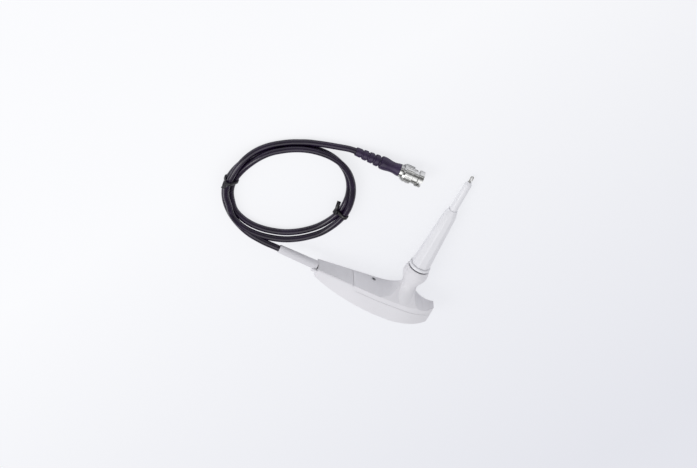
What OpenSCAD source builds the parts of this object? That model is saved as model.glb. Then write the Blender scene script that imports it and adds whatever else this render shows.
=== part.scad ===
// Passive high-voltage oscilloscope probe: a T-shaped handle with a tapered barrel, a spring-hook
// tip, a bundled coaxial lead and a BNC plug. Millimetres. The probe lies on its side: +X runs along
// the handle to its nose, +Y along the barrel to the tip and +Z up from the table.

/* [Handle] */
// Distance from the barrel axis back to the cord end of the handle
tail_len = 73; // [70:1:80]
// Distance from the barrel axis forward to the nose
nose_len = 26.6; // [25.6:0.2:28]
// Thickness of the grip under the neck
grip_t = 26; // [24:0.5:28]
// Thickness of the handle at its cord end
tail_t = 15; // [14:0.5:17]
// Distance from the neck groove down to the flat deck of the handle
neck_len = 31.4; // [30:0.2:34]
// Distance from the neck groove down to the bottom of the keel
keel_depth = 53.4; // [53:0.2:57]
// Wall thickness of the plastic shells
wall = 2; // [1.6:0.1:2.2]

/* [Barrel] */
// Distance from the neck groove to the end of the hook
tip_len = 96; // [93:0.5:100]
// Diameter of the barrel next to its flange
barrel_d = 15.6; // [15:0.1:16.2]
// Diameter of the barrel at its front shoulder
barrel_end_d = 10.8; // [10.2:0.1:11.4]
// Diameter of the flange at the foot of the barrel
flange_d = 17.6; // [17.2:0.1:18.6]
// Travel of the hook sleeve when it is pulled back
sleeve_travel = 5; // [3:0.5:5.5]

/* [Cable] */
// Outer diameter of the coaxial cable
cable_d = 5; // [4.6:0.1:5.2]
// Radius of the coil, to the middle of the bundle
coil_r = 46.6; // [45:0.1:48]
// Length of the boot outside the handle
boot_len = 34; // [30:0.5:38]

/* [Plug] */
// Diameter of the coupling nut over its knurl
nut_d = 14.4; // [14:0.1:15.4]
// Inner diameter of the coupling nut round the mating jack
nut_bore_d = 9.8; // [9.7:0.05:9.95]
// Outer diameter of the slotted outer contact
contact_d = 8.1; // [8:0.05:8.2]
// Diameter of the centre pin
pin_d = 1.35; // [1.3:0.01:1.4]

/* [Hidden] */
$fn = 96;
gap = 0.3;           // loose clearance round a separate piece
fit_gap = 0.1;       // close clearance round a piece that is held
run_gap = 0.06;      // running clearance round a moving piece

// Handle outline
deck_y = -neck_len;
cover_t = 1.2;
ledge_y = deck_y - cover_t;              // top of the lower shell under the trimmer cover
part_y = deck_y - 4.2;                   // joint between the two shells
half_t = grip_t / 2;
seam_x = -0.58 * tail_len;               // front edge of the trimmer cover
ramp_x = seam_x + 3.4;
taper_x = -20;                           // the grip has its full thickness from here forward
round_x = 2;                             // the nose rounds in from here forward
nose_round_r = 40;
crown_r = 20;                            // crown across the keel
keel_x = -6;                             // lowest point of the keel
keel_rise = keel_depth - 40.2;           // how far the keel rises to the cord end
rear_r = (pow(tail_len + keel_x, 2) + pow(keel_rise, 2)) / (2 * keel_rise);
front_r = 56;
flare_r = 12;                            // the neck flares into the grip and the nose
stem_r = 6.4;
stem_x = stem_r + 0.15;
flare_x = stem_x + flare_r;
back_flare_r = 15;                       // a wider flare towards the cord end
flare_y = deck_y + flare_r;
stem_y = -17;                            // the round stem widens from here down
stem_slope = 31;
knee_r = stem_r + flare_r * (1 - cos(stem_slope));
knee_y = stem_y - flare_r * sin(stem_slope);
span = 120;                              // larger than any part of the handle

// Fittings in the handle
socket_r = 6.8;                          // socket in the head for the foot of the barrel
socket_y = -10.4;
neck_bore_r = 4.2;
groove_r = 8.2;
flange_h = 2.6;
board_y = part_y - 1.6;                  // top face of the circuit board
board_t = 1.6;
board_x0 = -0.9 * tail_len;
board_x1 = -6;
board_inset = wall + 0.8;
board_screw_xs = [-0.56 * tail_len, -12];
board_screw_len = 3;
shell_screw_xs = [-0.47 * tail_len, 0.52 * nose_len];
screw_r = 1.2;
screw_head_r = 2.3;
boss_split_y = part_y - 5;
screw_seat_y = boss_split_y - 0.375 * (keel_depth + boss_split_y);   // seat of the screw heads
small_screw_r = 0.9;
boss_r = 3;
trimmer_xs = [-0.75 * tail_len, -0.63 * tail_len];
trimmer_r = 2.8;
trimmer_h = 2.6;
rotor_r = 1.3;
jack_x = -24;
jack_z = 4.2 - half_t;
jack_bore_r = 1;
jack_wall = 0.8;
jack_len = 8;

// Barrel
barrel_y = flange_h + gap;               // where the tapered barrel starts
shoulder_y = 0.573 * tip_len;            // where the front shoulder starts
mouth_y = 1.1 * shoulder_y;              // where the sleeve comes out
barrel_bore_r = 3.6;
chamber_r = 3.9;                         // chamber of the sleeve spring
resistor_y = [-6, 0.764 * shoulder_y];
resistor_r = 3;
cap_r = 3.3;
cap_len = 4;
disc_y = resistor_y[1] + 2;
lip_y = mouth_y - 3;
sleeve_r = 3.2;
mouth_r = sleeve_r + 0.65;
sleeve_end_r = 3;
sleeve_y = lip_y - 1.5;                  // rear face of the sleeve flange
sleeve_end_y = tip_len - 8.5;
nose_y = tip_len - 6;
rod_r = 0.8;
hook_wire_r = 0.5;
spring_wire_r = 0.3;
spring_r = 2.3;
spring_turns = 7;

// How the probe lies: on the far edge of its deck and on the widest place towards its tip
droop = min(atan((half_t - flange_d / 2) / (barrel_y - deck_y)),
            atan((half_t - barrel_end_d / 2) / (shoulder_y - deck_y)),
            atan((half_t - sleeve_end_r) / (sleeve_end_y - deck_y))) - 0.03;
lift = half_t * cos(droop) + deck_y * sin(droop);
neck_r = 2.75;                           // neck of the boot in the end wall of the handle
boot_y = deck_y - 1.4;
neck_top = 1;                            // its flat top lies under the cover
boot_r = 3.75;
boot_end_r = 3.35;
boot_sag = 6;                            // the boot hangs towards the table
wall_x = -tail_len;
collar_len = 3.4;
shift = [-(nose_len + wall_x - boot_len * cos(boot_sag) - boot_end_r * sin(boot_sag)) / 2,
         -((tip_len - 0.5) * cos(droop) + 0.5 - (keel_depth - crown_r) * cos(droop) - crown_r) / 2];

// Where a point of the probe comes to lie
function laid(p) =
    [p[0], p[1] * cos(droop) + p[2] * sin(droop), p[2] * cos(droop) - p[1] * sin(droop) + lift];

// A point on the boot's axis, behind the end wall
function boot_point(d) = laid([wall_x - d * cos(boot_sag), boot_y, -d * sin(boot_sag)]);

// Cable and plug as they lie on the table
cable_r = cable_d / 2;
bore_r = cable_r + fit_gap;
core_r = 0.9;
coil_x = -123.4;
coil_y = 19.2;
lead_route = [boot_point(5), boot_point(15), boot_point(25), boot_point(boot_len),
              [-113, -33.2, 8.8], [-119, -33.2, 8.4], [-124.5, -33, 7.9], [-132, -32.7, 7],
              [-139.2, -30.7, 5.6], [-147.2, -26.4, 4], [-153.8, -20.6, 3]];
core_route = [[wall_x - 3, boot_y, 0], [wall_x, boot_y, 0], [wall_x + wall + 1.6, boot_y, 0],
              [wall_x + 6, boot_y - 0.9, 0], [wall_x + 8.4, boot_y - 2.1, 0],
              [wall_x + 11, board_y + core_r + 0.3, 0], [wall_x + 13.5, board_y + core_r + 0.02, 0]];
plug_at = [-94.81, 78.99];               // start of the plug's boot
plug_turn = 0.2;
relief_r = 3.6;                          // the boot where the cable goes in
nut_y = [41, 58];
plug_tilt = atan((nut_d / 2 - relief_r - 0.06) / (nut_y[0] + 1));   // it lies on its nut and its boot
plug_z = nut_d / 2 * cos(plug_tilt) - (nut_y[0] + 1.6) * sin(plug_tilt) + 0.02;
function plug_point(d) = [plug_at[0] + d * cos(plug_tilt) * cos(plug_turn),
    plug_at[1] + d * cos(plug_tilt) * sin(plug_turn), plug_z + d * sin(plug_tilt)];
tail_route = [[-148, 60.8, 2.9], [-143, 64.3, 2.9], [-137.7, 67.5, 3], [-132, 70.6, 3.2],
              [-126, 73.2, 3.3], [-119, 75.4, 3.4], [-112, 77, 3.5], [-105.5, 78.2, 3.55],
              [-99.8, 78.8, 3.6], plug_point(0), plug_point(8), plug_point(16), plug_point(24.5),
              plug_point(32.5)];
tie_turns = [191, -1.4];                 // where the two ties sit round the coil
tie_flips = [180, 0];                    // the left tie has its head on the outside
tie_w = 2.5;
tie_t = 1;
relief_len = 38.3;
pin_step = 0.3;                          // the pin is thicker inside the insulator
nut_wall = 0.9;

// A cylinder along the barrel, between two distances from the neck groove
module rod(a, b, r) {
    translate([0, a, 0]) rotate([-90, 0, 0]) cylinder(h = b - a, r = r);
}

module taper(a, b, ra, rb) {
    translate([0, a, 0]) rotate([-90, 0, 0]) cylinder(h = b - a, r1 = ra, r2 = rb);
}

// A solid turned about the barrel axis from [radius, distance] points
module turned(points) {
    rotate([-90, 0, 0]) rotate_extrude() polygon(points);
}

// A cylinder along the handle
module bar(a, b, r) {
    translate([a, 0, 0]) rotate([0, 90, 0]) cylinder(h = b - a, r = r);
}

module below(y) {
    translate([-span, y - span, -span / 2]) cube([2 * span, span, span]);
}

module above(y) {
    translate([-span, y, -span / 2]) cube([2 * span, span, span]);
}

module behind(x) {
    translate([x - span, -span, -span / 2]) cube([span, 2 * span, span]);
}

module ahead(x) {
    translate([x, -span, -span / 2]) cube([span, 2 * span, span]);
}

// Probe pieces are drawn about the neck groove and then laid on the table
module lay() {
    translate([shift[0], shift[1], lift]) rotate([-droop, 0, 0]) children();
}

// Cable pieces are drawn as they lie
module on_table() {
    translate([shift[0], shift[1], 0]) children();
}

module at_plug() {
    on_table() translate([plug_at[0], plug_at[1], plug_z]) rotate([0, -plug_tilt, plug_turn]) children();
}

// The handle's outline from the side, g inside its surface; the cavity of the lower shell is open
module side_form(g, top = 0) {
    linear_extrude(height = span, center = true) difference() {
        polygon([[g - tail_len, -keel_depth - 1], [g - tail_len, deck_y - g + top],
                 [flare_x, deck_y - g + top], [flare_x, flare_y], [nose_len - 0.2 - g, flare_y],
                 [nose_len - g, deck_y - 6.6],
                 [nose_len - 0.4 - g, deck_y - 14.6], [nose_len - 0.4 - g, -keel_depth - 1]]);
        translate([flare_x, flare_y]) circle(r = flare_r + g - top);
    }
}

// The handle's outline looking along the barrel
module plan_form(g) {
    rotate([90, 0, 0]) linear_extrude(height = 2 * span, center = true) {
        polygon([[-tail_len - 1, g - tail_t / 2], [taper_x, g - half_t], [round_x, g - half_t],
                 [round_x, half_t - g], [taper_x, half_t - g], [-tail_len - 1, tail_t / 2 - g]]);
        intersection() {
            translate([round_x, -half_t]) square([span, grip_t]);
            translate([round_x, nose_round_r - half_t]) circle(r = nose_round_r - g);
            translate([round_x, half_t - nose_round_r]) circle(r = nose_round_r - g);
        }
    }
}

// The crowned keel: two arcs that meet at its lowest point
module keel_arc(r, inner, g) {
    translate([keel_x, r - keel_depth, 0]) rotate_extrude() intersection() {
        translate([inner, -crown_r]) square([r - inner, 2 * crown_r]);
        union() {
            translate([inner, -crown_r]) square([r - crown_r - inner, 2 * crown_r]);
            translate([r - crown_r, 0]) circle(r = crown_r - g);
        }
    }
}

module keel_form(g) {
    intersection() {
        keel_arc(rear_r, rear_r - 62, g);
        behind(keel_x);
    }
    intersection() {
        keel_arc(front_r, 0, g);
        ahead(keel_x);
    }
}

module handle_form(g, top = 0) {
    intersection() {
        side_form(g, top);
        plan_form(g);
        keel_form(g);
    }
}

// Everything under the joint; the joint steps up at the trimmer cover
module under_joint() {
    linear_extrude(height = span, center = true)
        polygon([[-span, -span], [-span, ledge_y], [seam_x, ledge_y], [ramp_x, part_y],
                 [span, part_y], [span, -span]]);
}

// Half of the neck's outline from the side: a stem that flares out to the deck
module flare_half(r) {
    difference() {
        translate([0, deck_y - 3]) square([stem_x + r - 0.6, r + 3]);
        translate([stem_x + r, deck_y + r]) circle(r = r);
    }
    translate([0, deck_y + r - 0.1]) square([stem_x, 22 - r]);
}

// Half of the round stem, g inside its surface
module stem_half(g) {
    foot_y = deck_y - 2;
    difference() {
        polygon([[0, foot_y], [knee_r - g / cos(stem_slope) + (knee_y - foot_y) * tan(stem_slope), foot_y],
                 [knee_r - g * cos(stem_slope), knee_y - g * sin(stem_slope)],
                 [knee_r - g * cos(stem_slope), stem_y], [0, stem_y]]);
        translate([stem_r + flare_r, stem_y]) circle(r = flare_r + g);
    }
    translate([0, stem_y - 0.1]) square([stem_r - g, 5]);
}

// The neck: a round stem and sloping shoulders, both within the outline from the side
module neck_form() {
    intersection() {
        plan_form(0);
        linear_extrude(height = span, center = true) {
            flare_half(flare_r);
            mirror([1, 0]) flare_half(back_flare_r);
        }
        union() {
            rotate([-90, 0, 0]) rotate_extrude() stem_half(0);
            rotate([0, 90, 0]) linear_extrude(height = 3 * flare_x, center = true)
                polygon([[-half_t, deck_y - 0.5], [-half_t, deck_y], [0, stem_y], [half_t, deck_y],
                         [half_t, deck_y - 0.5]]);
        }
    }
}

module head_form() {
    turned([[0, -17], [stem_r, -17], [7.3, -14], [8.5, -11.8], [9.5, -9.6], [10, -7.6], [10.1, -6],
            [9.9, -4], [9.4, -2.2], [9, -1], [0, -1]]);
}

// A boss that reaches from the floor of a shell to the joint
module boss(x, a, b, r) {
    translate([x, 0, 0]) rod(a, b, r);
}

// A fine line round the outside where the shells meet
module joint_line() {
    difference() {
        translate([ramp_x + 0.2, part_y - 0.2, -span / 2]) cube([span, 0.2 + gap, span]);
        handle_form(0.3);
    }
}

module lower_shell() {
    color("gainsboro") lay() difference() {
        union() {
            difference() {
                intersection() {
                    handle_form(0);
                    under_joint();
                }
                handle_form(wall, wall + 1);
            }
            intersection() {
                union() {
                    for (x = shell_screw_xs) boss(x, -keel_depth, boss_split_y, boss_r);
                    for (x = board_screw_xs) boss(x, -keel_depth, board_y - board_t, boss_r - 0.4);
                }
                handle_form(wall / 2);
            }
            intersection() {
                translate([0, boot_y, 0]) bar(wall_x - collar_len, wall_x + wall / 2, boot_r + 2);
                below(boot_y - 1.6);
            }
        }
        translate([0, boot_y, 0]) bar(wall_x - 1, wall_x + wall + 1, neck_r + fit_gap);
        translate([wall_x, boot_y, 0]) rotate([0, -boot_sag, 0]) bar(-collar_len - 1, -0.2, boot_r + 0.15);
        for (x = shell_screw_xs) translate([x, 0, 0]) {
            rod(-keel_depth - 1, screw_seat_y, screw_head_r + gap);
            rod(-keel_depth - 1, part_y + 1, screw_r + gap);
        }
        for (x = board_screw_xs)
            boss(x, board_y - board_t - board_screw_len - 0.4, board_y, small_screw_r + run_gap);
        joint_line();
    }
}

module upper_shell() {
    color("whitesmoke") lay() difference() {
        union() {
            difference() {
                union() {
                    difference() {
                        handle_form(0);
                        under_joint();
                        behind(seam_x + gap / 2);
                    }
                    neck_form();
                    head_form();
                }
                handle_form(wall);
                intersection() {
                    plan_form(wall);
                    rotate([-90, 0, 0]) rotate_extrude() stem_half(stem_r - neck_bore_r);
                }
            }
            for (x = shell_screw_xs) boss(x, boss_split_y + gap, deck_y, boss_r);
            translate([jack_x, 0, jack_z]) rod(part_y + 0.2, deck_y - 0.5, jack_bore_r + jack_wall + 1.2);
        }
        rod(part_y - 1, socket_y + 1, neck_bore_r);
        rod(socket_y, 0, socket_r + fit_gap);
        for (x = shell_screw_xs) boss(x, boss_split_y - 1, deck_y - 1.2, screw_r + run_gap);
        translate([jack_x, 0, jack_z]) rod(deck_y - jack_len, deck_y + 1, jack_bore_r + jack_wall + fit_gap);
    }
}

// A flat lid with two rails that snap between the walls of the lower shell
module trimmer_cover() {
    inner = wall + fit_gap;
    color("darkgray") lay() difference() {
        union() {
            intersection() {
                handle_form(0);
                above(ledge_y);
                behind(seam_x - gap / 2);
            }
            intersection() {
                difference() {
                    plan_form(inner);
                    plan_form(inner + 1);
                }
                translate([wall_x + wall + 1.4, ledge_y - 2, -half_t])
                    cube([seam_x - wall_x - wall - 3, 2.1, grip_t]);
            }
        }
        intersection() {
            translate([0, boot_y, 0]) bar(wall_x - 1, wall_x + wall + 0.4, neck_r + fit_gap);
            below(boot_y + neck_top + run_gap);
        }
        translate([0, boot_y, 0]) bar(wall_x, wall_x + 6.4, core_r + 0.2);
    }
}

module shell_screws() {
    color("dimgray") lay() for (x = shell_screw_xs) translate([x, 0, 0]) difference() {
        union() {
            rod(screw_seat_y - 2, screw_seat_y, screw_head_r);
            rod(screw_seat_y - 1, deck_y - 1.6, screw_r);
        }
        translate([0, screw_seat_y - 1.6, 0]) cube([0.6, 1.6, 3.4], center = true);
        translate([0, screw_seat_y - 1.6, 0]) cube([3.4, 1.6, 0.6], center = true);
    }
}

module circuit_board() {
    color("darkgreen") lay() difference() {
        intersection() {
            plan_form(board_inset);
            translate([board_x0, board_y - board_t, -half_t]) cube([board_x1 - board_x0, board_t, grip_t]);
        }
        for (x = shell_screw_xs) boss(x, board_y - board_t - 1, board_y + 1, boss_r + gap);
        for (x = board_screw_xs) boss(x, board_y - board_t - 1, board_y + 1, small_screw_r + 0.2);
        translate([jack_x, 0, jack_z]) rod(board_y - 3, board_y + 1, jack_bore_r + jack_wall + gap);
    }
}

module board_screws() {
    color("silver") lay() for (x = board_screw_xs) translate([x, 0, 0]) difference() {
        union() {
            rod(board_y, board_y + 1.2, 1.8);
            rod(board_y - board_t - board_screw_len, board_y + 0.5, small_screw_r);
        }
        translate([0, board_y + 1, 0]) cube([0.5, 0.9, 4], center = true);
    }
}

// Chip resistors and capacitors along the board
module board_parts() {
    color("saddlebrown") lay() {
        for (x = [-0.38, -0.3, -0.22], z = [-4, 4])
            translate([x * tail_len, board_y + 0.6, z]) cube([2.6, 1.2, 1.8], center = true);
        translate([-0.3 * tail_len, board_y + 0.9, 0]) cube([4.4, 1.8, 3.6], center = true);
    }
}

module trimmer_bodies() {
    color("mediumturquoise") lay() for (x = trimmer_xs) translate([x, 0, 0]) difference() {
        rod(board_y, board_y + trimmer_h, trimmer_r);
        rod(board_y + 0.8, board_y + trimmer_h + 1, rotor_r + run_gap);
    }
}

module rotor(x) {
    lay() translate([x, 0, 0]) difference() {
        rod(board_y + 0.8 + run_gap, board_y + trimmer_h + 0.5, rotor_r);
        translate([0, board_y + trimmer_h + 0.3, 0]) cube([0.5, 0.8, 4], center = true);
    }
}

module low_trimmer() {
    color("gold") rotor(trimmer_xs[0]);
}

module high_trimmer() {
    color("gold") rotor(trimmer_xs[1]);
}

// A sprung tube for the ground lead, with a strap to the board
module ground_jack() {
    color("silver") lay() translate([jack_x, 0, jack_z]) difference() {
        union() {
            rod(deck_y - jack_len, deck_y + 0.1, jack_bore_r + jack_wall);
            translate([-0.8, board_y + 0.02, 1]) cube([1.6, 0.4, 2.4]);
        }
        rod(deck_y - jack_len + 0.6, deck_y + 1, jack_bore_r);
    }
}

module neck_gasket() {
    color("black") lay() difference() {
        rod(-1, 0, groove_r);
        rod(-2, 2, socket_r + fit_gap);
    }
}

module flange_ring() {
    color("whitesmoke") lay() difference() {
        turned([[socket_r + fit_gap, 0], [flange_d / 2 - 0.3, 0], [flange_d / 2, 0.3],
                [flange_d / 2, flange_h - 0.6], [flange_d / 2 - 0.4, flange_h - 0.1],
                [socket_r + fit_gap, flange_h]]);
    }
}

// Eight long flats with rounded corners between them
module barrel_flats() {
    foot = barrel_d / 2 - 0.35;
    front = barrel_end_d / 2 - 0.25;
    intersection_for (a = [0 : 45 : 135]) rotate([0, a, 0])
        linear_extrude(height = span, center = true)
            polygon([[-foot, barrel_y - 1], [-front, shoulder_y + 1.2], [-mouth_r, mouth_y + 1],
                     [mouth_r, mouth_y + 1], [front, shoulder_y + 1.2], [foot, barrel_y - 1]]);
}

module barrel() {
    color("white") lay() difference() {
        union() {
            rod(socket_y + gap, barrel_y + 2, socket_r);
            intersection() {
                turned([[0, barrel_y], [barrel_d / 2, barrel_y], [barrel_end_d / 2, shoulder_y],
                        [mouth_r, mouth_y], [0, mouth_y]]);
                barrel_flats();
            }
        }
        rod(socket_y, disc_y, barrel_bore_r);
        rod(disc_y - 0.1, lip_y, chamber_r);
        rod(lip_y - 1, mouth_y + 1, sleeve_r + run_gap);
    }
}

module divider_resistor() {
    color("steelblue") lay() rod(resistor_y[0] + cap_len, resistor_y[1] - cap_len, resistor_r);
}

module resistor_caps() {
    color("silver") lay() {
        rod(resistor_y[0], resistor_y[0] + cap_len, cap_r);
        rod(resistor_y[1] - cap_len, resistor_y[1], cap_r);
    }
}

module signal_wire() {
    color("goldenrod") lay() {
        rod(board_y + 0.02, resistor_y[0], 0.5);
        translate([board_x1 - 3, board_y + 0.02, -0.5]) cube([3.4 - board_x1, 1, 1]);
    }
}

// Rod, contact disc and the bent wire of the hook in one piece
module hook_rod() {
    bend_r = 0.9;
    bend_y = tip_len - bend_r - hook_wire_r;
    rod_end = nose_y + 0.5;
    color("silver") lay() {
        rod(resistor_y[1], disc_y, cap_r);
        rod(disc_y - 0.5, rod_end, rod_r);
        translate([0, rod_end, 0]) sphere(r = rod_r);
        translate([-bend_r, 0, 0]) rod(rod_end - 0.1, bend_y, hook_wire_r);
        translate([-bend_r, rod_end - 0.1, 0]) sphere(r = hook_wire_r);
        translate([0, bend_y, 0]) rotate_extrude(angle = 180) translate([bend_r, 0]) circle(r = hook_wire_r);
        translate([bend_r, 0, 0]) rod(bend_y - 3.2, bend_y, hook_wire_r);
    }
}

function frame_at(pts, i) = let (n = len(pts), a = pts[max(i - 1, 0)], b = pts[min(i + 1, n - 1)],
    t = (b - a) / norm(b - a), s = cross([0, 0, 1], t), u = s / norm(s)) [u, cross(t, u)];

function ring_at(pts, i, r, sides) = let (f = frame_at(pts, i))
    [for (k = [0 : sides - 1]) pts[i] + r * (cos(k * 360 / sides) * f[0] + sin(k * 360 / sides) * f[1])];

// A round tube swept along a list of points
module tube(pts, r, sides = 12) {
    n = len(pts);
    polyhedron(
        points = [for (i = [0 : n - 1]) each ring_at(pts, i, r, sides)],
        faces = concat(
            [[for (k = [0 : sides - 1]) k]],
            [for (i = [0 : n - 2], k = [0 : sides - 1]) let (a = i * sides + k, b = i * sides + (k + 1) % sides)
                [b, a, a + sides, b + sides]],
            [[for (k = [sides - 1 : -1 : 0]) (n - 1) * sides + k]]));
}

module hook_spring() {
    rings = spring_turns * 12;
    length = sleeve_y - disc_y - 0.04 - 2 * spring_wire_r;
    start = disc_y + 0.02 + spring_wire_r;
    color("gray") lay() rotate([-90, 0, 0])
        tube([for (i = [0 : rings]) [spring_r * cos(i * 30), spring_r * sin(i * 30), start + length * i / rings]],
             spring_wire_r, 6);
}

module hook_sleeve() {
    color("whitesmoke") lay() difference() {
        turned([[0, sleeve_y], [barrel_bore_r, sleeve_y], [barrel_bore_r, lip_y - gap],
                [sleeve_r, lip_y - gap], [sleeve_r, mouth_y + 1], [sleeve_end_r, sleeve_end_y],
                [1.6, nose_y], [0, nose_y]]);
        rod(sleeve_y - 1, nose_y + 1, rod_r + gap);
    }
}

module cable_boot() {
    color("lightgray") lay() translate([wall_x, boot_y, 0]) difference() {
        union() {
            rotate([0, -boot_sag, 0]) translate([-boot_len, 0, 0]) rotate([0, 90, 0])
                cylinder(h = boot_len - 0.5, r1 = boot_end_r, r2 = boot_r);
            intersection() {
                bar(-1.6, wall + 0.4, neck_r);
                below(neck_top);
            }
            intersection() {
                bar(wall + 0.2, wall + 1.6, neck_r + 1.6);
                below(ledge_y - boot_y - gap);
            }
        }
        rotate([0, -boot_sag, 0]) bar(-boot_len - 1, -4, bore_r);
        bar(-6, wall + 3, core_r + gap);
    }
}

module cable_core() {
    color("white") lay() tube(core_route, core_r, 10);
}

module cable_lead() {
    color("black") on_table() tube(lead_route, cable_r);
}

// Outline of the bundle, g outside it: two strands on the table and one between them on top
module bundle(g) {
    r = cable_r + g;
    low = cable_r + 0.01;
    high = low + cable_r * sqrt(3);
    side = r * sqrt(3) / 2;
    for (p = [[-cable_r, low], [cable_r, low], [0, high]]) translate(p) circle(r = r);
    polygon([[-cable_r, low - r], [cable_r, low - r], [cable_r + side, low + r / 2],
             [side, high + r / 2], [-side, high + r / 2], [-cable_r - side, low + r / 2]]);
}

module at_coil(turn) {
    on_table() translate([coil_x, coil_y, 0]) rotate([0, 0, turn]) translate([coil_r, 0, 0]) children();
}

// The coil's underside is pressed in where the ties pass under it
module cable_coil() {
    color("black") difference() {
        on_table() translate([coil_x, coil_y, 0]) rotate_extrude() translate([coil_r, 0]) bundle(0);
        for (turn = tie_turns) at_coil(turn) translate([-cable_d - 4, -tie_w / 2 - gap, -1])
            cube([2 * cable_d + 8, tie_w + 2 * gap, 1 + tie_t + 2 * fit_gap]);
    }
}

module cable_tail() {
    color("black") on_table() tube(tail_route, cable_r);
}

// A strap round the bundle with a square head and a cut tail
module cable_tie(turn, flip) {
    low = cable_r + 0.01;
    top = cable_r * (2 + sqrt(3)) + fit_gap;
    at_coil(turn) rotate([0, 0, flip]) difference() {
        union() {
            rotate([90, 0, 0]) linear_extrude(height = tie_w, center = true) intersection() {
                bundle(fit_gap + tie_t);
                translate([-span, 0.02]) square([2 * span, span]);
            }
            translate([-cable_r - 1.6, 0, top - 0.2]) cube([3.4, tie_w + 1.4, 2.6], center = true);
            translate([-cable_r - 4.4, -tie_w / 2 + 0.4, top - 0.4]) rotate([0, -14, 0])
                cube([4, tie_w - 0.8, 0.9]);
        }
        rotate([90, 0, 0]) linear_extrude(height = 3 * tie_w, center = true) intersection() {
            bundle(fit_gap);
            translate([-span, tie_t + 0.02]) square([2 * span, span]);
        }
    }
}

module cable_ties() {
    color("black") for (i = [0, 1]) cable_tie(tie_turns[i], tie_flips[i]);
}

module plug_boot() {
    ribs = [4, 9.2, 14.4, 19.6];
    color("black") at_plug() difference() {
        rotate([0, 90, 0]) rotate_extrude()
            polygon([[0, 0], [relief_r - 0.5, 0], [relief_r, 0.6], [relief_r, 5], [3.4, 5.4], [3.4, 6.2], [4.1, 6.6], [4.1, 10.2],
                     [3.5, 10.6], [3.5, 11.4], [4.3, 11.8], [4.3, 15.4], [3.7, 15.8], [3.7, 16.6],
                     [4.7, 17], [4.7, 20.2], [4, 20.6], [4, 21.4], [5.2, 22.4], [5.4, 24.2], [5.3, 26.2],
                     [4.8, 29], [4.4, 32], [4.5, 34.6], [5.1, 37.6], [5.1, relief_len], [0, relief_len]]);
        bar(-1, 24, bore_r);
        bar(23, relief_len + 1, 3.2 + fit_gap);
    }
}

module crimp_sleeve() {
    color("silver") at_plug() difference() {
        bar(24, 33, 3.2);
        bar(20, 34, 2.6);
    }
}

module plug_body() {
    color("silver") at_plug() difference() {
        union() {
            bar(33.2, 39, 3.2);
            bar(relief_len, 40.6, 5.2);
            bar(40, 49, 4.6);
            bar(45.4, 47, 5.3);
        }
        bar(30, 60, 2.5);
    }
}

module plug_insulator() {
    color("white") at_plug() difference() {
        bar(33.2, 50, 2.45);
        bar(30, 60, pin_d / 2 + pin_step + 0.03);
    }
}

module centre_pin() {
    color("gold") at_plug() {
        bar(33.2, 50, pin_d / 2 + pin_step);
        bar(49.9, 54.4, pin_d / 2);
        translate([54.4, 0, 0]) rotate([0, 90, 0]) cylinder(h = 0.8, r1 = pin_d / 2, r2 = 0.2);
    }
}

// Four slots let the outer contact spring
module outer_contact() {
    color("silver") at_plug() difference() {
        bar(49, 56.4, contact_d / 2);
        bar(40, 60, contact_d / 2 - 0.55);
        for (a = [45, 135]) rotate([a, 0, 0]) translate([51, -5, -0.25]) cube([10, 10, 0.5]);
    }
    color("silver") at_plug() difference() {
        bar(49, 49.8, contact_d / 2 - 0.3);
        bar(40, 60, 2.6);
    }
}

module plug_gasket() {
    color("dimgray") at_plug() difference() {
        bar(47.3, 48.9, 5.1);
        bar(40, 60, 4.7);
    }
}

module wave_washer() {
    color("silver") at_plug() difference() {
        bar(44, 44.9, 5.4);
        bar(40, 50, 4.8);
    }
}

// Bayonet slot: a straight entry, a ramp of drilled steps and a round seat
module bayonet_slot() {
    slot_r = 1.15;
    for (i = [0 : 8])
        rotate([i * 10, 0, 0]) translate([nut_y[1] - 2.2 - i * 0.45, 0, 0])
            cylinder(h = nut_d, r = slot_r, $fn = 32);
    translate([nut_y[1] - 2.2, -slot_r, 0]) cube([4, 2 * slot_r, nut_d]);
}

module coupling_nut() {
    rim = nut_d / 2 - 0.5;
    front = nut_bore_d / 2 + nut_wall;
    color("silver") at_plug() difference() {
        rotate([0, 90, 0]) rotate_extrude()
            polygon([[0, nut_y[0]], [nut_d / 2 - 1, nut_y[0]], [nut_d / 2, nut_y[0] + 1.6],
                     [nut_d / 2, nut_y[0] + 8], [front, nut_y[0] + 8.6], [front, nut_y[1] - 4.5],
                     [rim, nut_y[1] - 3.9], [rim, nut_y[1]], [0, nut_y[1]]]);
        bar(nut_y[0] - 1, nut_y[1], 4.6 + run_gap);
        bar(nut_y[0] + 2.6, nut_y[0] + 8.4, 5.6);
        bar(nut_y[0] + 8, nut_y[1] + 1, nut_bore_d / 2);
        for (a = [0 : 15 : 345]) rotate([a, 0, 0]) translate([nut_y[0] + 2, -0.35, nut_d / 2 - 0.3])
            cube([5.6, 0.7, 1]);
        for (a = [0, 180]) rotate([a, 0, 0]) bayonet_slot();
    }
}

lower_shell();
upper_shell();
trimmer_cover();
shell_screws();
circuit_board();
board_screws();
board_parts();
trimmer_bodies();
low_trimmer();
high_trimmer();
ground_jack();
neck_gasket();
flange_ring();
barrel();
divider_resistor();
resistor_caps();
signal_wire();
hook_rod();
hook_spring();
hook_sleeve();
cable_boot();
cable_core();
cable_lead();
cable_coil();
cable_tail();
cable_ties();
plug_boot();
crimp_sleeve();
plug_body();
plug_insulator();
centre_pin();
outer_contact();
plug_gasket();
wave_washer();
coupling_nut();
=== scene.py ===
import math
import bmesh
import bpy
from mathutils import Matrix, Vector


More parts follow.
